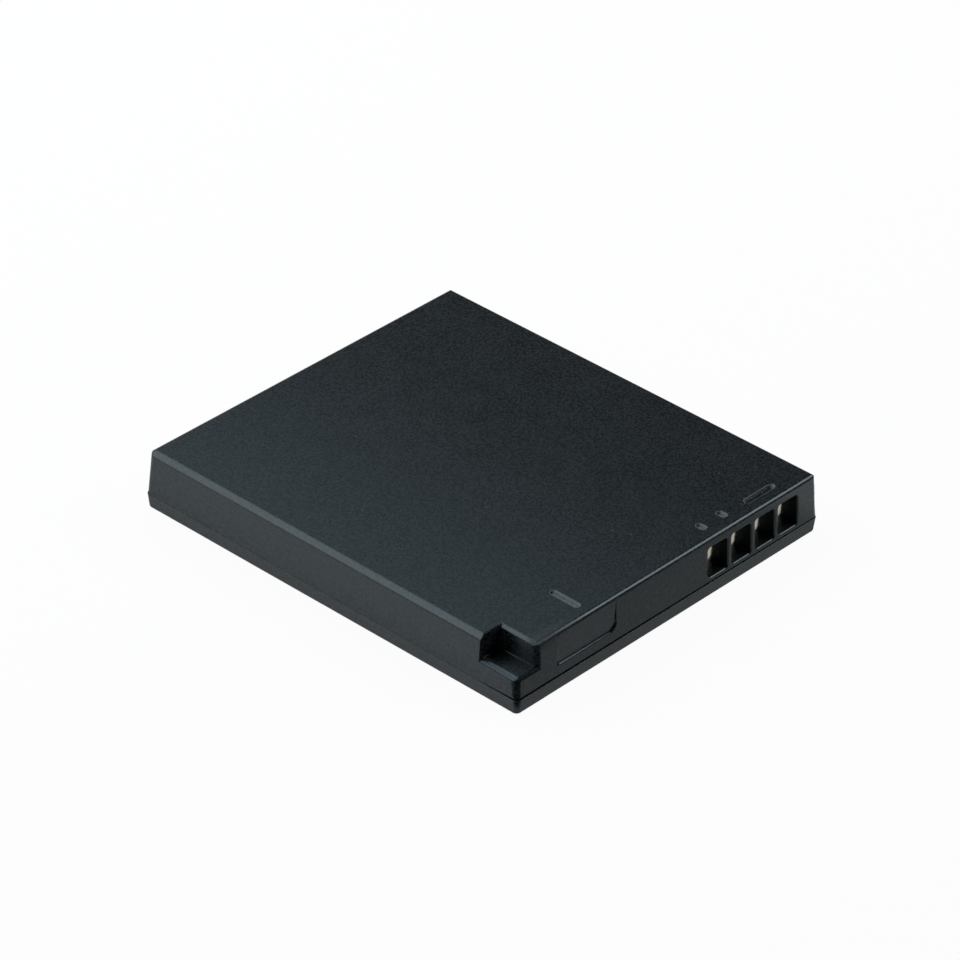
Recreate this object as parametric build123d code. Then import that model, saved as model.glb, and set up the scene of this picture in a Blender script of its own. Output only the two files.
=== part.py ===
from build123d import *
from math import atan2, cos, sin
import os

# Flat one-cell camera battery, in millimetres.
# The origin is the middle of the bottom face: X across the width, Y along the length, Z up.
# The contact end faces -Y, and the key notch is at the -X corner of that end.

# Case, outside
body_width = 36.0
body_length = 41.0
body_thickness = 5.45
seam_height = 1.38
side_overhang = 0.025
end_overhang = 0.07
side_lean = 0.21
end_lean = 0.27
lower_lean = 0.12
corner_radius = 0.47
left_edge_chamfer = 0.4
right_edge_chamfer = 0.27
far_edge_round = 0.3
contact_edge_round = 0.4
bottom_round = 0.25

# Case, walls and the lap joint between the halves
ceiling_wall = 0.5
floor_wall = 0.5
side_wall = 0.9
far_wall = 0.9
contact_wall = 1.0
lip_wall = 0.4
lip_height = 0.6
lip_clearance = 0.05

# Joint line left open at the contact end, closing along the sides and narrowing towards +X
seam_gap_left = 0.16
seam_gap_right = 0.06
seam_gap_depth = 0.35
seam_gap_run = 4.6

# Key notch
notch_width = 2.4
notch_length = 4.08
notch_depth = 2.16
notch_wall = 0.6
notch_rim_chamfer = 0.26
notch_sill_width = 0.36
notch_sill_drop = 0.17
notch_corner_round = 0.48
notch_sill_round = 0.3
notch_end_chamfer = 0.08

# Contact windows, placed from the +X side of the case
window_edge = 2.55
window_width = 2.37
window_rib = 0.5
window_sill = 0.43
window_header = 0.88
window_corner = 0.3
window_rim = 0.08

# Sunk field on the contact face, placed from the -X side of the case
field_edge = 4.855
field_width = 6.7
field_sill = 1.07
field_depth = 0.18
field_outer_corner = 0.8
field_inner_corner = 0.15

# Moulded slots on the top face, all ending on one line near the contact end
mark_margin = 1.5
mark_width = 0.55
mark_depth = 0.25
pointer_edge = 8.5
pointer_length = 2.95
dot_length = 0.95
dot_edges = (10.0, 12.5)
bar_edge = 5.64
bar_length = 3.5

# Ribs that hold the circuit board and the cell
board_rib_width = 1.15
board_rib_depth = 0.8
board_rib_drop = 2.6
stop_rib_width = 24.0
stop_rib_depth = 0.5
stop_rib_height = 0.6

# Contacts and circuit board
contact_names = ("contact_plus", "contact_sense", "contact_identity", "contact_minus")
contact_thickness = 0.2
contact_gap = 0.24
contact_lap = 0.1
contact_corner = 0.2
board_thickness = 0.8
board_corner = 0.3
board_clearance = 0.1

# Parts soldered to the inner side of the board: width along X, height along Z, rise off the board
chip_gap = 0.6
chip_start = -7.5
chip_edge = 0.06
capacitor_size = (0.5, 1.0, 0.5)
capacitor_count = 2
resistor_size = (0.5, 1.0, 0.35)
resistor_count = 3
thermistor_size = (0.6, 1.2, 0.6)
protection_chip_size = (2.0, 1.8, 0.75)
switch_chip_size = (5.0, 2.0, 0.75)

# Cell
cell_clearance = 0.15
cell_head_clearance = 0.1
cell_side_radius = 1.6
cell_end_round = 0.5
can_wall = 0.3
lid_thickness = 0.8
terminal_length = 4.2
terminal_height = 1.8
terminal_rise = 0.35
terminal_shank = 1.2
gasket_margin = 0.4
gasket_rise = 0.35
gasket_collar = 0.3
plug_place = 4.8
plug_diameter = 1.0
plug_head_diameter = 1.5
plug_head_rise = 0.15
plug_head_edge = 0.08
vent_place = -11.0
vent_length = 4.0
vent_height = 2.0
vent_score_width = 0.2
vent_score_depth = 0.3

# Insulation, tape, straps and the thermal cut-off
insulator_thickness = 0.15
insulator_width = 28.0
insulator_height = 3.2
insulator_clearance = 0.2
tape_thickness = 0.1
tape_width = 28.0
tape_length = 30.0
strap_thickness = 0.12
strap_height = 2.4
strap_bend = 0.35
strap_weld = 3.2
strap_tab = 2.2
positive_place = 7.2
cutoff_spacing = 2.0
cutoff_length = 4.0
cutoff_height = 2.8
cutoff_rise = 0.9
cutoff_edge = 0.15
cutoff_lead_run = 1.2
bay_clearance = 0.3

# Planes and places that the pieces share
upper_width = body_width - 2 * side_overhang
upper_length = body_length - 2 * end_overhang
upper_height = body_thickness - seam_height
end_angle = atan2(end_lean, upper_height)
contact_end = -upper_length / 2
left_side = -upper_width / 2
right_side = upper_width / 2
beyond = body_length

ceiling = body_thickness - ceiling_wall
cavity_half = right_side - side_wall
contact_inner = contact_end + contact_wall
far_inner = upper_length / 2 - far_wall
board_back = contact_inner + contact_thickness + board_thickness

notch_x = left_side + notch_width
notch_y = contact_end + notch_length
notch_floor = body_thickness - notch_depth
housing_x = notch_x + notch_wall
housing_y = notch_y + notch_wall
housing_floor = notch_floor - notch_wall

window_low = seam_height + window_sill
window_high = body_thickness - window_header
window_pitch = window_width + window_rib
window_last = body_width / 2 - window_edge - window_width / 2
window_first = window_last - (len(contact_names) - 1) * window_pitch
window_places = [window_first + place * window_pitch for place in range(len(contact_names))]

tallest_chip = max(capacitor_size[2], thermistor_size[2], protection_chip_size[2], switch_chip_size[2])
bay_stack = tallest_chip + bay_clearance + cutoff_rise + insulator_thickness
cell_front = max(housing_y + cell_clearance, board_back + bay_stack)
cell_back = far_inner - cell_clearance
cell_low = floor_wall + tape_thickness
cell_high = ceiling - cell_head_clearance
cell_thickness = cell_high - cell_low
cell_width = 2 * (cavity_half - cell_clearance)
cell_middle = (cell_low + cell_high) / 2
insulator_face = cell_front - insulator_thickness
terminal_face = cell_front - gasket_rise - terminal_rise
positive_rise = positive_place + strap_weld + strap_bend
cutoff_right = -terminal_length / 2 - cutoff_spacing
cutoff_left = cutoff_right - cutoff_length

board_left = housing_x + board_clearance
board_right = cavity_half - board_clearance
board_low = floor_wall
board_high = ceiling - board_clearance
board_middle = (board_low + board_high) / 2


def block(x, y, z):
    """Box between the low and high ends given for each axis."""
    ends = (x, y, z)
    size = [high - low for low, high in ends]
    middle = [(low + high) / 2 for low, high in ends]
    return Pos(*middle) * Box(*size)


def along_y(sketch, y_low, y_high):
    """Solid of a sketch drawn as X and Z, between two places along Y."""
    return extrude(Plane.XZ.offset(-y_high) * sketch, y_high - y_low)


def along_x(sketch, x_low, x_high):
    """Solid of a sketch drawn as Y and Z, between two places along X."""
    return extrude(Plane.YZ.offset(x_low) * sketch, x_high - x_low)


def chamfer_waste(corner, first, second):
    """Sketch of what a chamfer between two points takes off a corner."""
    corner, first, second = Vector(*corner), Vector(*first), Vector(*second)
    outside = corner + (corner - (first + second) / 2) * 4
    return make_face(Polyline(first * 2 - second, second * 2 - first, outside, close=True))


def round_waste(corner, first_normal, second_normal, radius):
    """Sketch of what a round takes off a corner between two faces with the given normals."""
    first, second = Vector(*first_normal), Vector(*second_normal)
    middle = Vector(*corner) - (first + second) * (radius / (1 + first.dot(second)))
    wedge = make_face(Polyline(middle, middle + first * 3 * radius, middle + second * 3 * radius, close=True))
    return wedge - Pos(middle.X, middle.Y) * Circle(radius)


def side_inset(z):
    """How far the long walls of the upper half stand in from the seam at a height."""
    return side_lean * (z - seam_height) / upper_height


def end_inset(z):
    """How far the end walls of the upper half stand in from the seam at a height."""
    return end_lean * (z - seam_height) / upper_height


def level_outline(z):
    """Outline of the upper half at a height, with rounded corners."""
    width = upper_width - 2 * side_inset(z)
    length = upper_length - 2 * end_inset(z)
    return Pos(0, 0, z) * RectangleRounded(width, length, corner_radius)


def notched_outline(z):
    """Outline at a height above the notch floor, with the notch's outer corner rounded."""
    waste = Rectangle(beyond, beyond, align=Align.MAX)
    outline = level_outline(z) - Pos(notch_x, notch_y, z) * waste
    corner = outline.vertices().sort_by_distance((notch_x, contact_end + end_inset(z), z))[0]
    return fillet(corner, notch_corner_round)


def upper_blank():
    """Outside of the upper half: leaning walls, the key notch and their broken edges."""
    base = loft([level_outline(seam_height), level_outline(notch_floor)], ruled=True)
    top = loft([notched_outline(notch_floor), notched_outline(body_thickness)], ruled=True)

    for side, size in ((-1, left_edge_chamfer), (1, right_edge_chamfer)):
        edge_x = side * (upper_width / 2 - side_lean)
        low_z = body_thickness - size
        low_point = (side * (upper_width / 2 - side_inset(low_z)), low_z)
        waste = chamfer_waste((edge_x, body_thickness), (edge_x - side * size, body_thickness), low_point)
        top -= along_y(waste, -beyond, beyond)
    for side, radius in ((-1, contact_edge_round), (1, far_edge_round)):
        edge_y = side * (upper_length / 2 - end_lean)
        outward = (side * cos(end_angle), sin(end_angle))
        top -= along_x(round_waste((edge_y, body_thickness), (0, 1), outward, radius), -beyond, beyond)
    return base + top - notch_edges()


def notch_profile(wall, rim):
    """Section of the notch against one of its walls, opening out at the top by a chamfer."""
    above = body_thickness + notch_depth
    return make_face(
        Polyline(
            (-beyond, notch_floor),
            (wall, notch_floor),
            (wall, body_thickness - rim),
            (wall + rim + notch_depth, above),
            (-beyond, above),
            close=True,
        )
    )


def notch_edges():
    """What the broken edges of the key notch take off: its rim, mitred in the inner corner, and its sill."""
    side_rim = along_y(notch_profile(notch_x, notch_rim_chamfer), -beyond, beyond)
    end_rim = along_x(notch_profile(notch_y, notch_end_chamfer), -beyond, beyond)
    sill_x = left_side + side_inset(notch_floor)
    low_z = notch_floor - notch_sill_drop
    low_point = (left_side + side_inset(low_z), low_z)
    sill = chamfer_waste((sill_x, notch_floor), (sill_x + notch_sill_width, notch_floor), low_point)
    sill_y = contact_end + end_inset(notch_floor)
    outward = (-cos(end_angle), sin(end_angle))
    sill_end = round_waste((sill_y, notch_floor), (0, 1), outward, notch_sill_round)
    foot_levels = (notch_floor - 2 * notch_sill_round, notch_floor + 2 * notch_sill_round)
    wall_foot = loft([notched_outline(z) for z in foot_levels], ruled=True)
    return [
        side_rim & end_rim,
        along_y(sill, -beyond, notch_y),
        along_x(sill_end, -beyond, notch_x + 2 * notch_corner_round) - wall_foot,
    ]


def window_openings():
    """Openings through the contact wall, each with a small bevel round its rim."""
    height = window_high - window_low
    middle = (window_low + window_high) / 2
    opening = RectangleRounded(window_width, height, window_corner)
    bevel = 2 * window_rim
    mouth = RectangleRounded(window_width + bevel, height + bevel, window_corner + window_rim)
    face_y = contact_end + end_inset(middle)
    outward = (0, -cos(end_angle), sin(end_angle))
    openings = []
    for x in window_places:
        openings.append(along_y(Pos(x, middle) * opening, -beyond, contact_inner))
        face = Plane(origin=(x, face_y, middle), x_dir=(1, 0, 0), z_dir=outward)
        openings.append(extrude(face * mouth, -bevel, taper=45))
    return openings


def sunk_field():
    """Upright sunk field in the leaning contact wall, running out towards the top edge."""
    low = seam_height + field_sill
    high = body_thickness + field_sill
    left = -body_width / 2 + field_edge
    right = left + field_width
    field = Pos((left + right) / 2, (low + high) / 2) * Rectangle(field_width, high - low)
    field = fillet(field.vertices().sort_by_distance((right, low))[0], field_outer_corner)
    field = fillet(field.vertices().sort_by_distance((left, low))[0], field_inner_corner)
    return along_y(field, -beyond, contact_end + end_inset(low) + field_depth)


def top_marks():
    """Shallow moulded slots on the top face: a pointer, two dots and a bar."""
    near_end = -body_length / 2 + mark_margin
    slots = [(-body_width / 2 + pointer_edge, pointer_length)]
    slots += [(body_width / 2 - edge, dot_length) for edge in dot_edges]
    marks = []
    for x, length in slots:
        slot = Rot(0, 0, 90) * SlotOverall(length, mark_width)
        marks.append(Pos(x, near_end + length / 2, body_thickness) * extrude(slot, -mark_depth))
    bar = extrude(SlotOverall(bar_length, mark_width), -mark_depth)
    marks.append(Pos(body_width / 2 - bar_edge, near_end + mark_width / 2, body_thickness) * bar)
    return marks


def lip_path(clearance):
    """Lap joint along the two sides and the far end, as a solid grown by a clearance."""
    start = contact_end + seam_gap_run
    outer_half = cavity_half + lip_wall + clearance
    outer = block(
        (-outer_half, outer_half),
        (start - clearance, far_inner + lip_wall + clearance),
        (seam_height, seam_height + lip_height + clearance),
    )
    return outer - block((-cavity_half, cavity_half), (-beyond, far_inner), (-beyond, beyond))


def open_seam():
    """Joint line at the contact end: a thin wedge round the outside that closes along the sides."""
    across = Vector(upper_width, 0, seam_gap_right - seam_gap_left)
    along = Vector(0, seam_gap_run, -seam_gap_left)
    corner = (left_side, contact_end, seam_height + seam_gap_left)
    slant = Plane(origin=corner, x_dir=across, z_dir=across.cross(along))
    wedge = extrude(slant * Rectangle(4 * beyond, 4 * beyond), -beyond)
    wedge &= block((-beyond, beyond), (-beyond, beyond), (seam_height, body_thickness))
    core_half = right_side - seam_gap_depth
    return wedge - block((-core_half, core_half), (contact_end + seam_gap_depth, beyond), (-beyond, beyond))


def upper_case():
    """Upper half of the case: top, four walls, notch housing and the ribs behind the board."""
    cavity = block((-cavity_half, cavity_half), (contact_inner, far_inner), (-beyond, ceiling))
    cavity -= block((-beyond, housing_x), (-beyond, housing_y), (housing_floor, beyond))
    rib_y = (board_back + board_clearance, board_back + board_clearance + board_rib_depth)
    rib_z = (ceiling - board_rib_drop, ceiling)
    cavity -= block((housing_x, housing_x + board_rib_width), rib_y, rib_z)
    cavity -= block((cavity_half - board_rib_width, cavity_half), rib_y, rib_z)
    case = upper_blank() - cavity
    return case - [lip_path(lip_clearance), open_seam(), sunk_field(), *window_openings(), *top_marks()]


def lower_case():
    """Lower half of the case: a shallow tray with the lap joint's lip and a stop for the cell."""
    foot = RectangleRounded(body_width - 2 * lower_lean, body_length - 2 * lower_lean, corner_radius)
    rim = Pos(0, 0, seam_height) * RectangleRounded(body_width, body_length, corner_radius)
    tray = loft([foot, rim], ruled=True)
    tray = fillet(tray.faces().sort_by(Axis.Z)[0].edges(), bottom_round)
    tray -= block((-cavity_half, cavity_half), (contact_inner, far_inner), (floor_wall, beyond))
    stop_back = insulator_face - board_clearance
    stop = block(
        (-stop_rib_width / 2, stop_rib_width / 2),
        (stop_back - stop_rib_depth, stop_back),
        (floor_wall, floor_wall + stop_rib_height),
    )
    return tray + lip_path(0) + stop


def cell_section(inset):
    """Section of the cell across its length, drawn as X and Z."""
    width = cell_width - 2 * inset
    height = cell_thickness - 2 * inset
    return Pos(0, cell_middle) * RectangleRounded(width, height, cell_side_radius - inset)


def cell_can():
    """Drawn can of the cell with its sealed contents, and a seat in its mouth for the lid."""
    can = along_y(cell_section(0), cell_front, cell_back)
    can = fillet(can.faces().sort_by(Axis.Y)[-1].edges(), cell_end_round)
    return can - along_y(cell_section(can_wall), cell_front, cell_front + lid_thickness)


def disc_along_y(x, diameter, y_low, y_high):
    """Round bar along Y at the middle height of the cell."""
    return along_y(Pos(x, cell_middle) * Circle(diameter / 2), y_low, y_high)


def cell_lid():
    """Lid of the cell with its terminal and filling holes and the scored vent."""
    lid_back = cell_front + lid_thickness
    lid = along_y(cell_section(can_wall), cell_front, lid_back)
    lid -= disc_along_y(0, terminal_shank + 2 * gasket_collar, cell_front, lid_back)
    lid -= disc_along_y(plug_place, plug_diameter, cell_front, lid_back)
    vent = SlotOverall(vent_length, vent_height)
    vent -= SlotOverall(vent_length - 2 * vent_score_width, vent_height - 2 * vent_score_width)
    return lid - along_y(Pos(vent_place, cell_middle) * vent, cell_front, cell_front + vent_score_depth)


def terminal_gasket():
    """Moulded insulator between the lid and the terminal: a flange with a collar through the lid."""
    flange = SlotOverall(terminal_length + 2 * gasket_margin, terminal_height + 2 * gasket_margin)
    gasket = along_y(Pos(0, cell_middle) * flange, cell_front - gasket_rise, cell_front)
    gasket += disc_along_y(0, terminal_shank + 2 * gasket_collar, cell_front, cell_front + lid_thickness)
    return gasket - disc_along_y(0, terminal_shank, cell_front - gasket_rise, cell_front + lid_thickness)


def negative_terminal():
    """Riveted terminal of the cell: a flat head on a shank through the gasket."""
    head = along_y(
        Pos(0, cell_middle) * SlotOverall(terminal_length, terminal_height),
        terminal_face,
        cell_front - gasket_rise,
    )
    return head + disc_along_y(0, terminal_shank, cell_front - gasket_rise, cell_front + lid_thickness)


def fill_plug():
    """Plug that closes the filling hole of the lid."""
    head = disc_along_y(plug_place, plug_head_diameter, cell_front - plug_head_rise, cell_front)
    head = chamfer(head.faces().sort_by(Axis.Y)[0].edges(), plug_head_edge)
    return head + disc_along_y(plug_place, plug_diameter, cell_front, cell_front + lid_thickness)


def lid_insulator():
    """Paper strip on the lid, cut out round the terminal, the plug, the vent and the weld."""
    gasket_length = terminal_length + 2 * (gasket_margin + insulator_clearance)
    gasket_height = terminal_height + 2 * (gasket_margin + insulator_clearance)
    vent_hole = SlotOverall(vent_length + 2 * insulator_clearance, vent_height + 2 * insulator_clearance)
    weld_length = positive_rise - positive_place + strap_thickness
    weld_hole = Rectangle(weld_length + 2 * insulator_clearance, strap_height + 2 * insulator_clearance)
    strip = Rectangle(insulator_width, insulator_height)
    strip -= SlotOverall(gasket_length, gasket_height)
    strip -= Pos(plug_place, 0) * Circle(plug_head_diameter / 2 + insulator_clearance)
    strip -= Pos(vent_place, 0) * vent_hole
    strip -= Pos((positive_place + positive_rise) / 2, 0) * weld_hole
    return along_y(Pos(0, cell_middle) * strip, insulator_face, cell_front)


def strap(points):
    """Flat strap standing on edge, bent round the corners of a path given as X and Y."""
    path = FilletPolyline(*points, radius=strap_bend)
    section = Plane(path @ 0, x_dir=(0, 0, 1), z_dir=path % 0) * Rectangle(strap_height, strap_thickness)
    return Pos(0, 0, cell_middle) * sweep(section, path)


def positive_strap():
    """Strap from the weld on the lid to the board."""
    lid_level = cell_front - strap_thickness / 2
    board_level = board_back + strap_thickness / 2
    corners = [(positive_rise, lid_level), (positive_rise, board_level)]
    return strap([(positive_place, lid_level), *corners, (positive_rise + strap_tab, board_level)])


def negative_strap():
    """Straight strap from the terminal's head to the thermal cut-off."""
    return block(
        (cutoff_right, terminal_length / 2 - strap_bend),
        (terminal_face - strap_thickness, terminal_face),
        (cell_middle - strap_height / 2, cell_middle + strap_height / 2),
    )


def thermal_cutoff():
    """Small sealed cut-off switch lying on the insulator."""
    body = block(
        (cutoff_left, cutoff_right),
        (insulator_face - cutoff_rise, insulator_face),
        (cell_middle - cutoff_height / 2, cell_middle + cutoff_height / 2),
    )
    return fillet(body.edges().filter_by(Axis.Y), cutoff_edge)


def cutoff_lead():
    """Strap from the thermal cut-off to the board."""
    cutoff_level = terminal_face - strap_thickness / 2
    board_level = board_back + strap_thickness / 2
    rise_x = cutoff_left - cutoff_lead_run
    corners = [(rise_x, cutoff_level), (rise_x, board_level)]
    return strap([(cutoff_left, cutoff_level), *corners, (rise_x - strap_tab, board_level)])


def cell_tape():
    """Double-sided tape that holds the cell to the floor of the lower half."""
    middle = (cell_front + cell_back) / 2
    return block(
        (-tape_width / 2, tape_width / 2),
        (middle - tape_length / 2, middle + tape_length / 2),
        (floor_wall, cell_low),
    )


def circuit_board():
    """Board standing behind the contacts."""
    outline = RectangleRounded(board_right - board_left, board_high - board_low, board_corner)
    place = Pos((board_left + board_right) / 2, board_middle)
    return along_y(place * outline, board_back - board_thickness, board_back)


def contact_plates():
    """Plated contacts on the board, one behind each window."""
    height = window_high - window_low + 2 * contact_lap
    plate = RectangleRounded(window_pitch - contact_gap, height, contact_corner)
    middle = (window_low + window_high) / 2
    plates = {}
    for name, x in zip(contact_names, window_places):
        plates[name] = along_y(Pos(x, middle) * plate, contact_inner, contact_inner + contact_thickness)
    return plates


def board_parts():
    """Parts soldered in a row along the inner side of the board."""
    row = [("chip_capacitors", capacitor_size)] * capacitor_count
    row += [("chip_resistors", resistor_size)] * resistor_count
    row += [("thermistor", thermistor_size)]
    row += [("protection_chip", protection_chip_size), ("switch_chip", switch_chip_size)]
    groups = {}
    left = chip_start
    for name, (width, height, rise) in row:
        chip = block(
            (left, left + width),
            (board_back, board_back + rise),
            (board_middle - height / 2, board_middle + height / 2),
        )
        chip = chamfer(chip.faces().sort_by(Axis.Y)[-1].edges(), chip_edge)
        groups.setdefault(name, []).append(chip)
        left += width + chip_gap
    return {name: Compound(chips) if len(chips) > 1 else chips[0] for name, chips in groups.items()}


def main():
    os.makedirs("parts", exist_ok=True)
    pieces = {
        "upper_case": upper_case(),
        "lower_case": lower_case(),
        "cell_can": cell_can(),
        "cell_lid": cell_lid(),
        "terminal_gasket": terminal_gasket(),
        "negative_terminal": negative_terminal(),
        "fill_plug": fill_plug(),
        "lid_insulator": lid_insulator(),
        "positive_strap": positive_strap(),
        "negative_strap": negative_strap(),
        "thermal_cutoff": thermal_cutoff(),
        "cutoff_lead": cutoff_lead(),
        "cell_tape": cell_tape(),
        "circuit_board": circuit_board(),
        **contact_plates(),
        **board_parts(),
    }
    for name, piece in pieces.items():
        export_step(piece, f"parts/{name}.step")


main()
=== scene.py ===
# %% [markdown]
# A camera battery, dressed in Blender
#
# A flat camera battery is a thin block of dark plastic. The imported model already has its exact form, with
# walls that lean, a key notch and windows for the contacts, so this lesson is about what makes plastic look
# like plastic: fine mould texture, softly broken edges, and light that draws those edges.

# %% Start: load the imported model
import math

import bmesh
import bpy
from mathutils import Matrix, Vector


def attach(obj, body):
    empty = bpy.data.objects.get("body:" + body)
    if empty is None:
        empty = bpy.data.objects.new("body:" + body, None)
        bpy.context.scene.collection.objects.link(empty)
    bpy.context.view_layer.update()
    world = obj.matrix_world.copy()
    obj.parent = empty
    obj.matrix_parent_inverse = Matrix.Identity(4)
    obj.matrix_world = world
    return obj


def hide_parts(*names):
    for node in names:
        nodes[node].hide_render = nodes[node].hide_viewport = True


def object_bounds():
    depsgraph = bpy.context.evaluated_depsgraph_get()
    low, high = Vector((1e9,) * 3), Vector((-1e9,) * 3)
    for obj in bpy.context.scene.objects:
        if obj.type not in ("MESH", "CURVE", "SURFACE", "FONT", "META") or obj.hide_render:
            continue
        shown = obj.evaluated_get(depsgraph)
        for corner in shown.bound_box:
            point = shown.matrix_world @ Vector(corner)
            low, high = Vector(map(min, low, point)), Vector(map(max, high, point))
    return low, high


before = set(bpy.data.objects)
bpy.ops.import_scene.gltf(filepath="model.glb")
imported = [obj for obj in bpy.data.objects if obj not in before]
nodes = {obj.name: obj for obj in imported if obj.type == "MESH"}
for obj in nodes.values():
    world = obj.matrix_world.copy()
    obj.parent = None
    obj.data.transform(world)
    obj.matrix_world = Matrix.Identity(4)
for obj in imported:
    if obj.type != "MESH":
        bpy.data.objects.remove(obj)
cad_low, cad_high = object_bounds()
mm = 0.001
print("nodes:", len(nodes), "size in mm:", [round(side / mm, 2) for side in cad_high - cad_low])

# %% [markdown]
# The camera
#
# A long lens from about 40 cm keeps the edges of the block almost parallel. The camera looks at one corner
# of the contact end from above, and is turned very slightly round its own axis.

# %% Camera
camera_azimuth = math.radians(-47.9367)
camera_elevation = math.radians(33.6886)
camera_roll = math.radians(1.615)
camera_distance = 407.153 * mm
camera_shift_right = -0.0828 * mm
camera_shift_up = 3.1007 * mm
camera_lens = 188.17

back = Vector((
    math.sin(camera_azimuth) * math.cos(camera_elevation),
    -math.cos(camera_azimuth) * math.cos(camera_elevation),
    math.sin(camera_elevation),
))
level_right = (-back).cross(Vector((0, 0, 1))).normalized()
level_up = level_right.cross(-back)
right = math.cos(camera_roll) * level_right + math.sin(camera_roll) * level_up
up = math.cos(camera_roll) * level_up - math.sin(camera_roll) * level_right

camera = bpy.data.objects.new("camera", bpy.data.cameras.new("camera"))
bpy.context.scene.collection.objects.link(camera)
camera.data.lens = camera_lens
camera.data.sensor_width = 36
camera.data.clip_start = 10 * mm
camera.data.clip_end = 10
place = camera_distance * back + camera_shift_right * right + camera_shift_up * up
camera.matrix_world = Matrix.Translation(place) @ Matrix((right, up, back)).transposed().to_4x4()
bpy.context.scene.camera = camera
print("camera at", [round(c, 3) for c in camera.location])


# %% [markdown]
# Small helpers for node trees
#
# Every material here is a node tree, and so is every repeated small piece. A few short helpers keep those
# trees readable: one adds a node, the others are the sums, ramps and patterns that come up again and again.

# %% Node helpers
def node(tree, kind, inputs=None, **settings):
    """Adds a node, sets its properties, then sets or links its inputs by name or number."""
    made = tree.nodes.new(kind)
    for name, value in settings.items():
        setattr(made, name, value)
    for name, value in (inputs or {}).items():
        if isinstance(value, bpy.types.NodeSocket):
            tree.links.new(value, made.inputs[name])
        else:
            made.inputs[name].default_value = value
    return made


def new_material(name):
    """An empty node material with its output node."""
    material = bpy.data.materials.new(name)
    material.use_nodes = True
    material.node_tree.nodes.clear()
    output = material.node_tree.nodes.new("ShaderNodeOutputMaterial")
    return material, material.node_tree, output


print("node helpers ready")


# %% Pattern helpers
def calc(tree, operation, first, last):
    """One sum of two numbers."""
    return node(tree, "ShaderNodeMath", {0: first, 1: last}, operation=operation).outputs[0]


def ramp(tree, value, start, end, first, last, smooth=False):
    """Goes from first to last while the value goes from start to end, and stays level outside."""
    return node(tree, "ShaderNodeMapRange", {
        "Value": value, "From Min": start, "From Max": end, "To Min": first, "To Max": last,
    }, interpolation_type="SMOOTHSTEP" if smooth else "LINEAR").outputs[0]


def between(tree, factor, first, last, kind="RGBA"):
    """A colour, or with kind FLOAT a number, between two others."""
    mix = node(tree, "ShaderNodeMix", {"Factor": factor, "A": first, "B": last}, data_type=kind)
    return mix.outputs["Result"]


def blotches(tree, place, size, detail=2.0):
    """A soft random pattern with blotches of about the given size."""
    noise = node(tree, "ShaderNodeTexNoise", {"Vector": place, "Scale": 1 / size, "Detail": detail})
    return noise.outputs["Fac"]


def stretched(tree, place, squeeze):
    """The same place with each axis squeezed by its own share, which stretches any pattern drawn on it."""
    return node(tree, "ShaderNodeVectorMath", {0: place, 1: squeeze}, operation="MULTIPLY").outputs[0]


def bumps(tree, height, depth):
    """The surface normal over a height pattern of the given depth."""
    return node(tree, "ShaderNodeBump", {"Height": height, "Distance": depth, "Strength": 1.0}).outputs[0]


def coat(tree, output, inputs):
    """Ends a material in one Principled shader."""
    shader = node(tree, "ShaderNodeBsdfPrincipled", inputs)
    tree.links.new(shader.outputs[0], output.inputs["Surface"])


print("pattern helpers ready")

# %% [markdown]
# The floor
#
# The pack lies on a plain white floor. To the camera the floor is nearly all glow, so it stays white, with
# a little of the real shadow left in it. Glossy plastic also shows the floor in its sides, and there its glow
# is a painted shade, a paler or deeper grey set by place: the strip in front of the contact end lies in the
# pack's own shade, and the near corner is painted darkest.

# %% Floor finish
floor_white = (0.86, 0.86, 0.86, 1)
floor_glow = 0.95
# Greys of the floor's glow in the pack's gloss, by place: painted shade, not shade cast by the lamps.
side_grey, side_near_grey, side_shade = 0.9, 0.64, 4 * mm
front_grey, far_front_grey, front_run = 0.43, 0.1, (6 * mm, 13 * mm)
open_grey, open_run = 0.75, (0.0 * mm, 3.5 * mm)
corner_grey = 0.04
grey_blend = 1.5 * mm


def painted_floor_shade(tree):
    """Painted shade of the floor in the pack's gloss: a grey by place for side, front, past the right end,
    near corner.
    """
    coords = node(tree, "ShaderNodeTexCoord")
    axes = node(tree, "ShaderNodeSeparateXYZ", {0: coords.outputs["Object"]})
    x, y = axes.outputs["X"], axes.outputs["Y"]
    side = ramp(tree, x, cad_low.x - side_shade, cad_low.x, side_grey, side_near_grey)
    front = ramp(tree, y, cad_low.y - front_run[1], cad_low.y - front_run[0], far_front_grey, front_grey)
    is_open = ramp(tree, x, cad_high.x + open_run[0], cad_high.x + open_run[1], 0.0, 1.0)
    front = between(tree, is_open, front, open_grey, "FLOAT")
    corner = cad_low.x - cad_low.y
    across = calc(tree, "SUBTRACT", x, y)
    is_front = ramp(tree, across, corner - grey_blend, corner + grey_blend, 0.0, 1.0, True)
    grey = between(tree, is_front, side, front, "FLOAT")
    near = cad_low.x + cad_low.y
    is_near = ramp(tree, calc(tree, "ADD", x, y), near - grey_blend, near, 1.0, 0.0)
    return between(tree, is_near, grey, corner_grey, "FLOAT")


def floor_material():
    """White floor: a glow for the camera, a painted grey shade in reflections, and a real diffuse floor for
    the rest.
    """
    material, tree, output = new_material("white_floor")
    path = node(tree, "ShaderNodeLightPath")
    seen = path.outputs["Is Camera Ray"]
    strength = between(tree, seen, painted_floor_shade(tree), 1.0, "FLOAT")
    mirrored = calc(tree, "MAXIMUM", path.outputs["Is Glossy Ray"], path.outputs["Is Transmission Ray"])
    share = calc(tree, "MAXIMUM", calc(tree, "MULTIPLY", seen, floor_glow), mirrored)
    cloth = node(tree, "ShaderNodeBsdfDiffuse", {"Color": floor_white})
    glow = node(tree, "ShaderNodeEmission", {"Color": (1, 1, 1, 1), "Strength": strength})
    mix = node(tree, "ShaderNodeMixShader", {0: share, 1: cloth.outputs[0], 2: glow.outputs[0]})
    tree.links.new(mix.outputs[0], output.inputs["Surface"])
    return material


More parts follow.
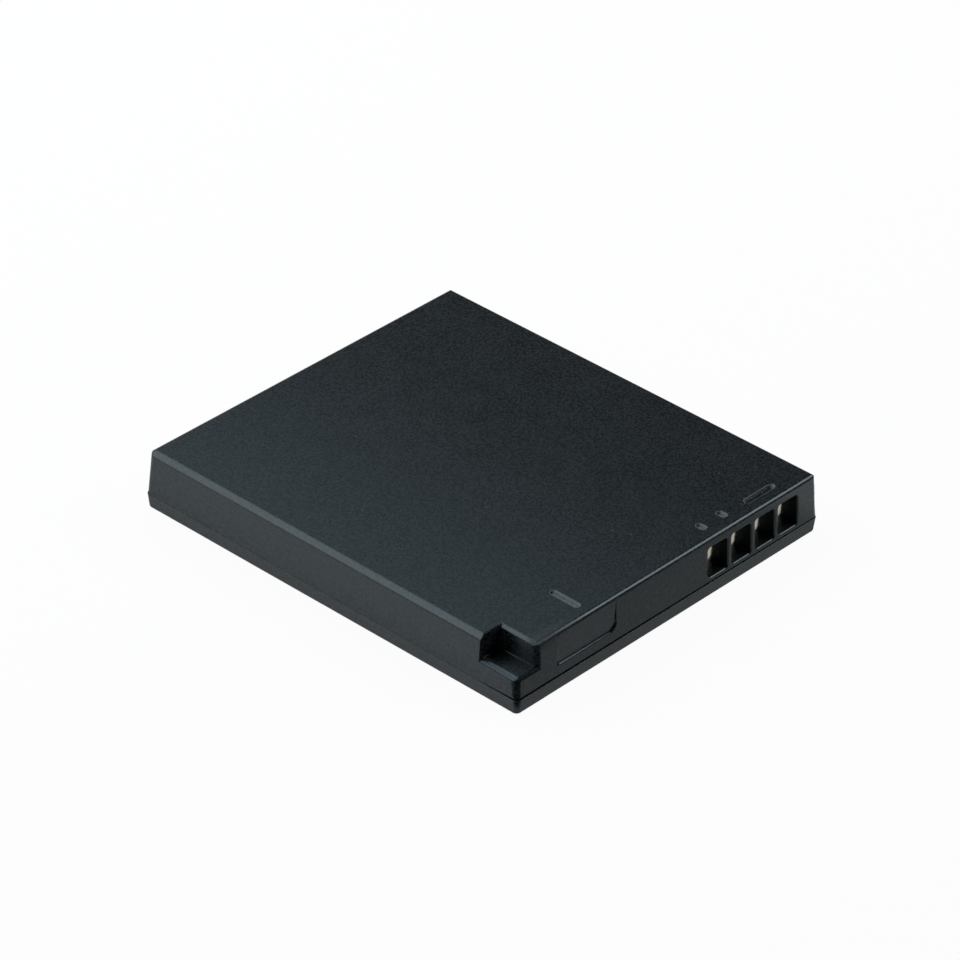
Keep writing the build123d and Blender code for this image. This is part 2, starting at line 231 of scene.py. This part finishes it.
print("floor greys:", side_grey, front_grey, open_grey)

# %% Floor plate
floor_reach = 1.2


def flat_plate(name, half_x, half_y, z):
    """A level rectangle round the middle."""
    mesh = bpy.data.meshes.new(name)
    corners = [(-half_x, -half_y, z), (half_x, -half_y, z), (half_x, half_y, z), (-half_x, half_y, z)]
    mesh.from_pydata(corners, [], [(0, 1, 2, 3)])
    made = bpy.data.objects.new(name, mesh)
    bpy.context.scene.collection.objects.link(made)
    return made


floor = flat_plate("floor", floor_reach, floor_reach, cad_low.z)
floor.data.materials.append(floor_material())
print("floor at", round(cad_low.z, 5))

# %% [markdown]
# The lamps
#
# Dark gloss shows hardly any colour of its own: its edges and faces are drawn by what they mirror. So each
# lamp is placed along the mirror direction of the face it has to draw. One very large cool soft box hangs
# over the pack and reaches far behind it. The edge of a smaller, nearer one falls in the middle of what the
# top mirrors, so the top goes from a lighter left to a darker right. A box in front draws the bright line
# along the rim of the contact end, a warm one on the left draws the long side's upper edge, and low cards
# on both sides keep the edges below from going black.


# %% Lamps
def soft_box(name, place, target, tall, width, height, brightness, colour=(1, 1, 1)):
    """A rectangular area lamp whose face has the given brightness, where 1 is white."""
    lamp = bpy.data.lights.new(name, "AREA")
    lamp.shape = "RECTANGLE"
    lamp.size = width
    lamp.size_y = height
    lamp.energy = brightness * math.pi * width * height
    lamp.color = colour
    made = bpy.data.objects.new(name, lamp)
    bpy.context.scene.collection.objects.link(made)
    facing = (Vector(place) - Vector(target)).normalized()
    side = Vector(tall).cross(facing).normalized()
    turn = Matrix((side, facing.cross(side), facing)).transposed().to_4x4()
    made.matrix_world = Matrix.Translation(place) @ turn
    return made


cool, warm = (0.8, 0.945, 1.0), (1.0, 0.75, 0.66)
pack = (0, 0, 0)


def overhead(name, x_range, y_range, height, brightness):
    """A level soft box that shines straight down."""
    x, y = sum(x_range) / 2, sum(y_range) / 2
    size = (x_range[1] - x_range[0], y_range[1] - y_range[0])
    return soft_box(name, (x, y, height), (x, y, 0), (0, 1, 0), *size, brightness, cool)


overhead("key_box", (-0.45, 0.15), (0.05, 0.95), 0.28, 1.63)
overhead("top_panel", (-0.02, 0.095), (0.02, 0.24), 0.1, 0.6)
soft_box("front_box", (0.307, -0.201, 0.296), pack, (0, 0.79, 0.61), 0.2, 0.29, 4.3)
soft_box("left_box", (-0.253, 0.256, 0.275), pack, (0, 0, 1), 0.28, 0.28, 1.35, warm)
soft_box("left_card", (-0.37, 0.25, 0.07), pack, (0, 0, 1), 0.7, 0.14, 1.1)
soft_box("right_card", (0.45, 0.2, 0.09), pack, (0, 0, 1), 0.7, 0.18, 1.0)

room_grey = (0.05, 0.05, 0.05, 1)
world = bpy.data.worlds.new("studio")
bpy.context.scene.world = world
world.use_nodes = True
world.node_tree.nodes["Background"].inputs["Color"].default_value = room_grey

# %% [markdown]
# The case plastic
#
# The case is moulded in dark glass-filled plastic with a fine spark-eroded grain. Almost all that is seen
# of it is gloss: its own colour is close to black. A mirror-like top under an even lamp would hide a bump,
# so the grain is in the colour as well as in the bump. The gloss wanders a little, a few dust specks lie on
# it, and the rim of the contact end is rubbed dull beside the key notch, where the pack meets its key each
# time it is pushed in.

# %% Plastic
grain_size = 0.15 * mm
mottle_size = 0.22 * mm
cloud_size = 3.0 * mm
gloss_swing, gloss_spread, mottle_spread = 0.03, (0.6, 1.4), (0.38, 0.62)
# The cool tint on every plastic's reflections is painted light: it stands in for cool lamps, not the plastic.
painted_cool_tint = (0.73, 0.92, 1.0, 1)
speck_spacing, speck_radius, speck_share = 2.4 * mm, 0.04, 0.3
speck_grey = (0.05, 0.055, 0.06, 1)
rubbed_x = (-16 * mm, -9 * mm)
rubbed_y = (-19.6 * mm, -18.8 * mm)
rubbed_z = (4.4 * mm, 5.0 * mm)
rubbed_dulling = 0.26


def dusted(tree, place, tint):
    """The same colour with a few pale dust specks on it."""
    cells = node(tree, "ShaderNodeTexVoronoi", {"Vector": place, "Scale": 1 / speck_spacing})
    lot = node(tree, "ShaderNodeSeparateColor", {0: cells.outputs["Color"]})
    near = calc(tree, "LESS_THAN", cells.outputs["Distance"], speck_radius)
    few = calc(tree, "LESS_THAN", lot.outputs[0], speck_share)
    return between(tree, calc(tree, "MULTIPLY", near, few), tint, speck_grey)


def rubbed(tree, place):
    """From 1 on the rim of the contact end beside the key notch to 0 away from it."""
    axes = node(tree, "ShaderNodeSeparateXYZ", {0: place})
    beside = ramp(tree, axes.outputs["X"], *rubbed_x, 1.0, 0.0, True)
    at_end = ramp(tree, axes.outputs["Y"], *rubbed_y, 1.0, 0.0)
    upper = ramp(tree, axes.outputs["Z"], *rubbed_z, 0.0, 1.0)
    return calc(tree, "MULTIPLY", calc(tree, "MULTIPLY", beside, at_end), upper)


def case_plastic(name, dark, light, roughness, grain_depth, shine=0.5, handled=False):
    """Dark moulded plastic with fine grain and cloudy gloss and, where handled, dust and a rubbed end."""
    material, tree, output = new_material(name)
    place = node(tree, "ShaderNodeTexCoord").outputs["Object"]
    grain = blotches(tree, place, grain_size)
    mottle = ramp(tree, blotches(tree, place, mottle_size), *mottle_spread, 0.0, 1.0)
    cloud = blotches(tree, place, cloud_size, 3.0)
    wander = calc(tree, "ADD", cloud, grain)
    gloss = ramp(tree, wander, *gloss_spread, roughness - gloss_swing, roughness + gloss_swing)
    tint = between(tree, mottle, dark, light)
    if handled:
        tint = dusted(tree, place, tint)
        gloss = calc(tree, "ADD", gloss, calc(tree, "MULTIPLY", rubbed(tree, place), rubbed_dulling))
    coat(tree, output, {
        "Base Color": tint, "Roughness": gloss, "IOR": 1.5, "Specular IOR Level": shine,
        "Specular Tint": painted_cool_tint, "Normal": bumps(tree, grain, grain_depth),
    })
    return material


fine_grain, coarse_grain, painted_shade_shine = 0.004 * mm, 0.012 * mm, 0.2
nearly_black, dark_grey = (0.001, 0.0015, 0.002, 1), (0.016, 0.0195, 0.022, 1)
# Pale colours: painted light on the slots, far lighter than the case plastic's own colour.
painted_light_low, painted_light_high = (0.07, 0.076, 0.08, 1), (0.1, 0.107, 0.112, 1)
# Deep colours: painted shade for the window insides and the notch's front.
painted_shade_low, painted_shade_high = (0.002, 0.0025, 0.003, 1), (0.004, 0.005, 0.006, 1)
plastic = case_plastic("case_plastic", nearly_black, dark_grey, 0.24, fine_grain, handled=True)
# The slots: real frost in the rougher gloss, and a painted light in the pale colour.
frosted_painted_light = case_plastic("slot_frost_and_painted_light", painted_light_low, painted_light_high, 0.5, coarse_grain)
# Window insides and the notch's front: a darker, duller copy of the case plastic, a painted shade.
painted_shade_plastic = case_plastic("recess_painted_shade", painted_shade_low, painted_shade_high, 0.6, coarse_grain, painted_shade_shine)
print("plastics:", plastic.name, frosted_painted_light.name, painted_shade_plastic.name)

# %% [markdown]
# The two case halves
#
# A moulding never has a knife edge: every edge of the tool has a tiny round, and those rounds draw the fine
# bright lines round the windows, slots and notch. The CAD has the forms, so each half is a copy of its CAD
# mesh with its points merged and its flat faces joined. The edges that turn sharply get a weight by where
# they lie, and a Bevel modifier rounds them by that weight. A few narrow walls are then leaned, so that
# they show from the front, and a Weighted Normal modifier keeps the large faces evenly lit. All of it stays
# inside the box of the CAD.

# %% Places on the case, in millimetres
top_z, slot_floor, slot_reach = cad_high.z / mm, 5.2, 0.05
field_foot, field_rise = 2.45, 2.64
far = math.inf
slot_patch = ((-11, 15.5), (-19.3, -15.8))
window_insides = ((4.3, 15.6), (-20.1, -19.3), (1.7, 4.7))
window_band = ((3.5, 15.9), (-far, -19.4), (1.6, 4.8))
window_fronts = ((3.5, far), (-far, -20), (1.7, 4.7))
notch_front = ((-far, -15.6), (-far, -19.95), (2.95, 3.5))
notch_sill_end = ((-15.8, -14.4), (-far, -19.7), (2.5, 3.5))
notch_walls = ((-far, -15.1), (-far, -15.9), (3.0, far))
field_border = ((-13.4, -6), (-far, -19.7), (1.6, far))
rim_by_field = ((-far, -6), (-far, -19.7), (4.8, far))
right_end = ((15.9, far), (-far, far), (1.6, 5))
cavity = ((-17.08, 17.08), (-19.44, 19.54), (-far, 4.96))


def inside(box, *place):
    """Whether a place lies between the limits of a box on each axis."""
    return all(low < value < high for value, (low, high) in zip(place, box))


def in_cavity(*place):
    """Whether a place lies inside the closed case, the notch's own walls aside."""
    return inside(cavity, *place) and not inside(notch_walls, *place)


print("places named:", "slots, windows, notch, field, right end and cavity")

# %% How round each sharp edge is
fine_round = 0.1 * mm
slot_lip, slot_foot = 1.2, 0.3
window_side, window_rim = 0.8, 0.35
field_lip, field_side = 1.4, 2.0
joint_lip, other_lip, joint_top = 0.4, 0.8, 1.6
steep_rise, window_face_y, left_border_x, border_turn_x = 0.3 * mm, -20.28, -12.5, -13.1


def field_left(z):
    """Which share of the field's depth is left at a height: it runs out upwards."""
    return max(0, 1 - (z - field_foot) / field_rise)


def edge_share(edge):
    """How much of the fine round an edge of a case half gets, by where it lies in millimetres."""
    first, last = (corner.co for corner in edge.verts)
    x, y, z = place = (first + last) / 2 / mm
    steep = abs(first.z - last.z) > steep_rise
    if in_cavity(*place) or inside(rim_by_field, *place) or inside(notch_sill_end, *place):
        return 0
    if inside(slot_patch, x, y) and z > slot_floor - slot_reach:
        return slot_lip if edge.is_convex else slot_foot
    if inside(window_band, *place):
        return window_side if steep and y < window_face_y else window_rim
    if inside(right_end, *place):
        return 0
    if inside(field_border, *place):
        if not edge.is_convex:
            return 0
        side_share = field_side * field_left(z) if x < left_border_x else 0
        return side_share if steep or x < border_turn_x else field_lip
    return joint_lip if z < joint_top else other_lip


print("fine round in mm:", fine_round / mm)

# %% Mesh of a case half before rounding
merge_distance = 0.012 * mm
flat_turn, sharp_turn = math.radians(0.3), math.radians(20)
rim_widening, rim_lifting = 0.12 * mm, 0.03 * mm
rim_facing = (0.66, -0.6)
border_cuts, border_length = 7, 2 * mm


def lean_window_sides(edit):
    """Makes the left rim of each window wide and shallow, so that it shows from the front."""
    rims = [face for face in edit.faces if is_left_rim(face)]
    outer = {corner for face in rims for corner in face.verts if corner.co.x < face.calc_center_bounds().x}
    inner = {corner for face in rims for corner in face.verts} - outer
    for corner in outer:
        corner.co.x -= rim_widening
    for corner in inner:
        corner.co.y -= rim_lifting
    for face in rims:
        for edge in face.edges:
            edge.smooth = not outer.issuperset(edge.verts)


def is_left_rim(face):
    """Whether a face is the chamfered left rim of a contact window."""
    turned = face.normal.x > rim_facing[0] and face.normal.y < rim_facing[1]
    return turned and inside(window_fronts, *(face.calc_center_bounds() / mm))


def divide_border(edit):
    """Divides the field's left border, so that its round can shrink as the field gets shallower."""
    border = []
    for edge in edit.edges:
        place = (edge.verts[0].co + edge.verts[1].co) / 2 / mm
        if inside(field_border, *place) and place.x < left_border_x and edge.calc_length() > border_length:
            border.append(edge)
    bmesh.ops.subdivide_edges(edit, edges=border, cuts=border_cuts)


def weighted_mesh(mesh):
    """Merges a CAD mesh into clean faces and gives its sharp edges their share of the round."""
    edit = bmesh.new()
    edit.from_mesh(mesh)
    bmesh.ops.remove_doubles(edit, verts=edit.verts, dist=merge_distance)
    bmesh.ops.dissolve_degenerate(edit, dist=merge_distance, edges=edit.edges)
    bmesh.ops.dissolve_limit(edit, angle_limit=flat_turn, verts=edit.verts, edges=edit.edges)
    lean_window_sides(edit)
    divide_border(edit)
    edit.normal_update()
    weights = edit.edges.layers.float.new("bevel_weight_edge")
    for edge in edit.edges:
        if len(edge.link_faces) == 2 and edge.calc_face_angle() > sharp_turn:
            edge[weights] = edge_share(edge)
            edge.smooth = edge[weights] > 0
    for face in edit.faces:
        face.smooth = True
    edit.to_mesh(mesh)
    edit.free()


print("points merged within", merge_distance / mm, "mm")

# %% Slopes that the rounds alone don't give
slot_middles = (-9.5, 5.5, 8.0, 12.36)
slot_half, bar_half, bar_start = 0.275, 1.75, 10
lip_top = top_z - 0.002
slot_draft = 0.18
border_x, border_slope, border_width = -13.14, 0.27, 0.26
border_span, full_width_share = (2.65, 4.9), 0.35
border_margin = 0.01
face_y, face_z, face_lean = -20.35, 2.6, 0.17 / 2.48


def slope_slot(x, z):
    """Where a slot's wall goes at a depth: its sides lean in along X, as a tool that must come out needs."""
    middle = min(slot_middles, key=lambda place: abs(place - x))
    half = bar_half if middle > bar_start else slot_half
    depth = min(1, (top_z - z) / (top_z - slot_floor))
    return middle + (x - middle) * (1 - depth * slot_draft / half)


def contact_face(z):
    """Where the leaning contact face is along Y at a height."""
    return face_y + (z - face_z) * face_lean


def border_round(z):
    """How wide the round of the field's left border is at a height."""
    return fine_round / mm * field_side * field_left(z)


def on_left_border(x, y, z):
    """Whether a point lies on the round of the field's left border."""
    rounded = border_round(z)
    beside = border_x - rounded - border_margin < x < border_x + border_margin
    in_front = y < contact_face(z) + rounded + 2 * border_margin
    return beside and in_front and border_span[0] < z < border_span[1]


def lean_walls(mesh):
    """Leans the walls of the slots, and flattens the round of the field's left border into a wide slope."""
    sloped = set()
    for point in mesh.vertices:
        x, y, z = point.co / mm
        if inside(slot_patch, x, y) and slot_floor - slot_reach < z < lip_top:
            point.co.x = slope_slot(x, z) * mm
        if on_left_border(x, y, z):
            rounded = border_round(z)
            across = max(0, min(1, (x - border_x + rounded) / rounded))
            width = border_width * min(1, field_left(z) / full_width_share)
            point.co.x = (border_x - width * (1 - across)) * mm
            point.co.y = (contact_face(z) + border_slope * width * across) * mm
            sloped.add(point.index)
    for edge in mesh.edges:
        if sloped.issuperset(edge.vertices):
            edge.use_edge_sharp = True


print("slots lean in by", slot_draft, "mm")


# %% Case halves
bar_bottom_top, slot_span = slot_floor + 0.06, (slot_floor - 0.1, top_z - 0.03)


def plain_mesh(made):
    """Turns an object's modifiers into its plain mesh."""
    graph = bpy.context.evaluated_depsgraph_get()
    made.data = bpy.data.meshes.new_from_object(made.evaluated_get(graph), depsgraph=graph)
    made.modifiers.clear()
    made.data.name = made.name


def case_half(name, source):
    """A copy of a case half with its sharp edges finely rounded, standing for the CAD node."""
    made = bpy.data.objects.new(name, nodes[source].data.copy())
    bpy.context.scene.collection.objects.link(made)
    weighted_mesh(made.data)
    bevel = made.modifiers.new("fine_round", "BEVEL")
    bevel.limit_method = "WEIGHT"
    bevel.width = fine_round
    bevel.segments = 3
    bevel.use_clamp_overlap = False
    bevel.face_strength_mode = "FSTR_ALL"
    plain_mesh(made)
    lean_walls(made.data)
    even = made.modifiers.new("even_light", "WEIGHTED_NORMAL")
    even.mode = "FACE_AREA"
    even.weight = 100
    even.use_face_influence = True
    even.keep_sharp = True
    plain_mesh(made)
    made.data.materials.clear()
    for finish in (plastic, frosted_painted_light, painted_shade_plastic):
        made.data.materials.append(finish)
    for face in made.data.polygons:
        x, y, z = place = face.center / mm
        bar_bottom = x > bar_start and z < bar_bottom_top
        in_slot = inside((*slot_patch, slot_span), *place)
        # Slots take the frosted copy whose pale colour is painted light.
        if in_slot and not bar_bottom:
            face.material_index = 1
        # Window insides and the notch's front take the dark dull copy: painted shade.
        elif inside(window_insides, *place) or inside(notch_front, *place):
            face.material_index = 2
    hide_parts(source)
    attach(made, "root")
    print(name, "faces:", len(made.data.polygons))
    return made


case_half("upper_shell", "upper_case")
case_half("lower_shell", "lower_case")

# %% [markdown]
# The metals
#
# Drawn and rolled metal keeps fine straight streaks along the way it was pulled: the cell's can along its
# length, the nickel strips along the strip. A random pattern stretched along that way gives the streaks, in
# the colour, the gloss and, very weakly, the height. The contacts are plated pale gold, and there the
# streaks are the faint rub marks that the springs of a camera leave.


# %% Metals
streak_width, streak_stretch = 0.05 * mm, 40
streak_depth, streak_swing, streak_spread = 0.0004 * mm, 0.04, (0.3, 0.7)


def streaked_metal(name, dark, light, roughness, along):
    """Satin metal with fine streaks along one axis."""
    material, tree, output = new_material(name)
    place = node(tree, "ShaderNodeTexCoord").outputs["Object"]
    squeeze = [1 / streak_stretch if axis == along else 1 for axis in "XYZ"]
    streaks = blotches(tree, stretched(tree, place, squeeze), streak_width)
    coat(tree, output, {
        "Base Color": between(tree, streaks, dark, light), "Metallic": 1.0,
        "Roughness": ramp(tree, streaks, *streak_spread, roughness - streak_swing, roughness + streak_swing),
        "Normal": bumps(tree, streaks, streak_depth),
    })
    return material


aluminium = streaked_metal("can_metal", (0.54, 0.55, 0.57, 1), (0.70, 0.71, 0.73, 1), 0.32, "Y")
nickel = streaked_metal("nickel", (0.50, 0.48, 0.44, 1), (0.66, 0.64, 0.60, 1), 0.28, "X")
gold = streaked_metal("contact_gold", (0.84, 0.78, 0.66, 1), (0.92, 0.86, 0.74, 1), 0.1, "Z")
print("metals:", aluminium.name, nickel.name, gold.name)

# %% [markdown]
# Mouldings and fired chips
#
# The nylon gasket, the cut-off's body, the chips' moulding compound and the fired ceramics are all
# close-grained: one colour with fine flecks in it, and slow clouds in the gloss. One function makes them,
# and only the colours, the fleck size and the gloss differ.


# %% Mouldings and ceramics
fleck_depth, cloud_share, fleck_spread, cloud_spread = 0.002 * mm, 12, (0.35, 0.65), (0.3, 0.7)


def flecked(name, dark, light, roughness, fleck):
    """A close-grained moulded or fired stuff with fine flecks."""
    material, tree, output = new_material(name)
    place = node(tree, "ShaderNodeTexCoord").outputs["Object"]
    flecks = blotches(tree, place, fleck, 3.0)
    cloud = blotches(tree, place, fleck * cloud_share)
    coat(tree, output, {
        "Base Color": between(tree, ramp(tree, flecks, *fleck_spread, 0.0, 1.0), dark, light),
        "Roughness": ramp(tree, cloud, *cloud_spread, roughness - gloss_swing, roughness + gloss_swing),
        "Normal": bumps(tree, flecks, fleck_depth),
    })
    return material


nylon = flecked("gasket_nylon", (0.70, 0.68, 0.61, 1), (0.80, 0.78, 0.71, 1), 0.45, 0.3 * mm)
cutoff_body = flecked("cutoff_plastic", (0.024, 0.024, 0.026, 1), (0.036, 0.036, 0.038, 1), 0.4, 0.2 * mm)
chip_body = flecked("chip_plastic", (0.015, 0.015, 0.017, 1), (0.027, 0.027, 0.029, 1), 0.5, 0.1 * mm)
brown_chip = flecked("capacitor_ceramic", (0.42, 0.27, 0.15, 1), (0.50, 0.33, 0.19, 1), 0.35, 0.08 * mm)
dark_chip = flecked("resistor_ceramic", (0.04, 0.04, 0.045, 1), (0.06, 0.06, 0.066, 1), 0.25, 0.08 * mm)
print("mouldings:", [stuff.name for stuff in (nylon, cutoff_body, chip_body, brown_chip, dark_chip)])

# %% [markdown]
# Paper and tape
#
# Insulating paper is a felt of short fibres. Two stretched random patterns, one along and one across, cross
# each other like fibres, and the higher of the two shows. The film tape is smoother: its glue is laid on in
# narrow bands along the cell, which a wave pattern draws.


# %% Paper and tape
fibre_width, fibre_stretch = 0.04 * mm, 14
fibre_depth, fibre_spread, glue_band = 0.006 * mm, (0.4, 0.75), 0.8 * mm
waves_per_scale = 20 / math.tau


def fibre_paper(name, dark, light, roughness):
    """Matt paper with crossing fibres."""
    material, tree, output = new_material(name)
    place = node(tree, "ShaderNodeTexCoord").outputs["Object"]
    fibres = []
    for squeeze in ((1 / fibre_stretch, 1, 1), (1, 1, 1 / fibre_stretch)):
        fibres.append(blotches(tree, stretched(tree, place, squeeze), fibre_width))
    felt = calc(tree, "MAXIMUM", *fibres)
    coat(tree, output, {
        "Base Color": between(tree, ramp(tree, felt, *fibre_spread, 0.0, 1.0), dark, light),
        "Roughness": roughness, "Normal": bumps(tree, felt, fibre_depth),
    })
    return material


def film_tape(name, dark, light, roughness):
    """Smooth film with faint bands of glue under it."""
    material, tree, output = new_material(name)
    place = node(tree, "ShaderNodeTexCoord").outputs["Object"]
    bands = node(tree, "ShaderNodeTexWave", {
        "Vector": place, "Scale": 1 / waves_per_scale / glue_band, "Distortion": 1.5, "Detail": 1.0,
    }, bands_direction="X").outputs["Fac"]
    coat(tree, output, {
        "Base Color": between(tree, bands, dark, light),
        "Roughness": ramp(tree, bands, 0.0, 1.0, roughness - gloss_swing, roughness + gloss_swing),
    })
    return material


paper = fibre_paper("insulating_paper", (0.25, 0.38, 0.31, 1), (0.33, 0.48, 0.39, 1), 0.85)
tape = film_tape("tape", (0.69, 0.67, 0.59, 1), (0.75, 0.73, 0.65, 1), 0.35)
print("sheets:", paper.name, tape.name)

# %% [markdown]
# The circuit board
#
# The board is glass-cloth laminate under green solder mask. Where copper lies under the mask the green is
# lighter, and a narrow darker line runs between the copper areas. A brick pattern on the board's face draws
# them. The mask is only on the two faces, so the sawn edges show the straw-coloured laminate.


# %% Board
copper_area, copper_gap = (3.2 * mm, 1.45 * mm), 0.12 * mm
over_copper, also_copper = (0.02, 0.15, 0.06, 1), (0.016, 0.125, 0.05, 1)
bare_mask, laminate, sawn_roughness = (0.010, 0.07, 0.03, 1), (0.36, 0.31, 0.17, 1), 0.7
weave_size = 0.3 * mm


def solder_mask(name, roughness):
    """Green solder mask over copper areas, with bare laminate on the sawn edges."""
    material, tree, output = new_material(name)
    coords = node(tree, "ShaderNodeTexCoord")
    axes = node(tree, "ShaderNodeSeparateXYZ", {0: coords.outputs["Object"]})
    face = node(tree, "ShaderNodeCombineXYZ", {0: axes.outputs["X"], 1: axes.outputs["Z"]})
    copper = node(tree, "ShaderNodeTexBrick", {
        "Vector": face.outputs[0], "Color1": over_copper, "Color2": also_copper, "Mortar": bare_mask,
        "Scale": 1.0, "Mortar Size": copper_gap, "Brick Width": copper_area[0], "Row Height": copper_area[1],
    })
    facing = node(tree, "ShaderNodeSeparateXYZ", {0: coords.outputs["Normal"]})
    flatness = node(tree, "ShaderNodeMath", {0: facing.outputs["Y"]}, operation="ABSOLUTE").outputs[0]
    is_edge = calc(tree, "LESS_THAN", flatness, 0.5)
    coat(tree, output, {
        "Base Color": between(tree, is_edge, copper.outputs["Color"], laminate),
        "Roughness": between(tree, is_edge, roughness, sawn_roughness, "FLOAT"),
        "Normal": bumps(tree, blotches(tree, coords.outputs["Object"], weave_size), fleck_depth),
    })
    return material


mask = solder_mask("board_laminate", 0.3)
print("board:", mask.name)

# %% Every CAD piece gets its finish
finishes = {
    "upper_case": plastic, "lower_case": plastic,
    "cell_can": aluminium, "cell_lid": aluminium, "fill_plug": aluminium,
    "terminal_gasket": nylon, "negative_terminal": nickel,
    "positive_strap": nickel, "negative_strap": nickel, "cutoff_lead": nickel,
    "lid_insulator": paper, "thermal_cutoff": cutoff_body, "cell_tape": tape, "circuit_board": mask,
    "contact_plus": gold, "contact_sense": gold, "contact_identity": gold, "contact_minus": gold,
    "protection_chip": chip_body, "switch_chip": chip_body,
    "chip_capacitors": brown_chip, "chip_resistors": dark_chip, "thermistor": dark_chip,
}
for name, part in nodes.items():
    part.data.materials.clear()
    part.data.materials.append(finishes[name])
print("pieces with a finish:", len(finishes))

# %% [markdown]
# Small pieces that repeat
#
# Inside the case three kinds of small metal piece repeat: the spot welds of the nickel strips, the legs of
# the two chips, and the plated ends of the ceramic chips. Each kind is one shape in many places, so one
# small Geometry Nodes tree makes them all. It puts a block or a flat ball of the given size on every point
# of a list, and the result becomes a plain mesh. None of them can be seen while the case is closed.


# %% A tree that repeats one shape
def repeat_tree(name, shape, settings):
    """A tree that puts one shape of the given size and finish on every point of its mesh."""
    tree = bpy.data.node_groups.new(name, "GeometryNodeTree")
    tree.interface.new_socket("Geometry", in_out="INPUT", socket_type="NodeSocketGeometry")
    tree.interface.new_socket("Size", in_out="INPUT", socket_type="NodeSocketVector")
    tree.interface.new_socket("Finish", in_out="INPUT", socket_type="NodeSocketMaterial")
    tree.interface.new_socket("Geometry", in_out="OUTPUT", socket_type="NodeSocketGeometry")
    given = node(tree, "NodeGroupInput").outputs
    piece = node(tree, shape, settings)
    copies = node(tree, "GeometryNodeInstanceOnPoints", {
        "Points": given["Geometry"], "Instance": piece.outputs["Mesh"], "Scale": given["Size"],
    })
    joined = node(tree, "GeometryNodeRealizeInstances", {0: copies.outputs[0]})
    dressed = node(tree, "GeometryNodeSetMaterial", {
        "Geometry": joined.outputs[0], "Material": given["Finish"],
    })
    node(tree, "NodeGroupOutput", {"Geometry": dressed.outputs[0]})
    return tree


blocks = repeat_tree("blocks", "GeometryNodeMeshCube", {"Size": (1, 1, 1)})
ball_shape = {"Segments": 20, "Rings": 10, "Radius": 0.5}
flat_balls = repeat_tree("flat_balls", "GeometryNodeMeshUVSphere", ball_shape)


def repeated(name, tree, size, points):
    """One visual piece: the tree's shape on each point, sizes and points in millimetres."""
    mesh = bpy.data.meshes.new(name)
    mesh.from_pydata([[side * mm for side in point] for point in points], [], [])
    made = bpy.data.objects.new(name, mesh)
    bpy.context.scene.collection.objects.link(made)
    repeat = made.modifiers.new("repeat", "NODES")
    repeat.node_group = tree
    inputs = [item for item in tree.interface.items_tree if item.in_out == "INPUT"]
    sockets = {item.name: item.identifier for item in inputs}
    repeat[sockets["Size"]] = [side * mm for side in size]
    repeat[sockets["Finish"]] = nickel
    plain_mesh(made)
    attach(made, "root")
    print(name, "copies:", len(points), "faces:", len(made.data.polygons))
    return made


# %% Welds, chip legs and plated ends
strap_middle, weld_size = 2.72, (0.56, 0.05, 0.56)
board_face, tab_face, lid_strap_face, terminal_strap_face = -18.43, -18.31, -15.72, -16.42
welds = [(x, lid_strap_face, strap_middle) for x in (8.1, 9.5)]
welds += [(x, terminal_strap_face, strap_middle) for x in (-0.8, 0.8)]
welds += [(x, tab_face, strap_middle) for x in (-10.95, -9.85, 11.3, 12.4)]
repeated("weld_dots", flat_balls, weld_size, welds)

leg = (0.22, 0.15, 0.4)


def chip_legs(places, low_z, high_z):
    """Where the legs of one chip stand, on its lower and upper ends."""
    ends = (low_z - leg[2] / 2, high_z + leg[2] / 2)
    return [(x, board_face + leg[1] / 2, z) for x in places for z in ends]


legs = chip_legs((-0.45, 0.2, 0.85), 1.78, 3.57) + chip_legs((2.5, 3.7, 4.9, 6.1), 1.67, 3.68)
repeated("chip_legs", blocks, leg, legs)

plating, end_length = 0.015, 0.24


def plated_ends(name, middles, width, height, low_z, high_z):
    """Thin plated caps over both ends of a row of ceramic chips."""
    size = (width + 2 * plating, height + plating, end_length + plating)
    ends = (low_z - plating + size[2] / 2, high_z + plating - size[2] / 2)
    return repeated(name, blocks, size, [(x, board_face + size[1] / 2, z) for x in middles for z in ends])


plated_ends("capacitor_ends", (-7.25, -6.15), 0.5, 0.5, 2.18, 3.17)
plated_ends("resistor_ends", (-5.05, -3.95, -2.85), 0.5, 0.35, 2.18, 3.17)
plated_ends("thermistor_ends", (-1.7,), 0.6, 0.6, 2.07, 3.28)

# %% Plain view
bpy.context.scene.view_settings.view_transform = "Standard"
print("view:", bpy.context.scene.view_settings.view_transform)
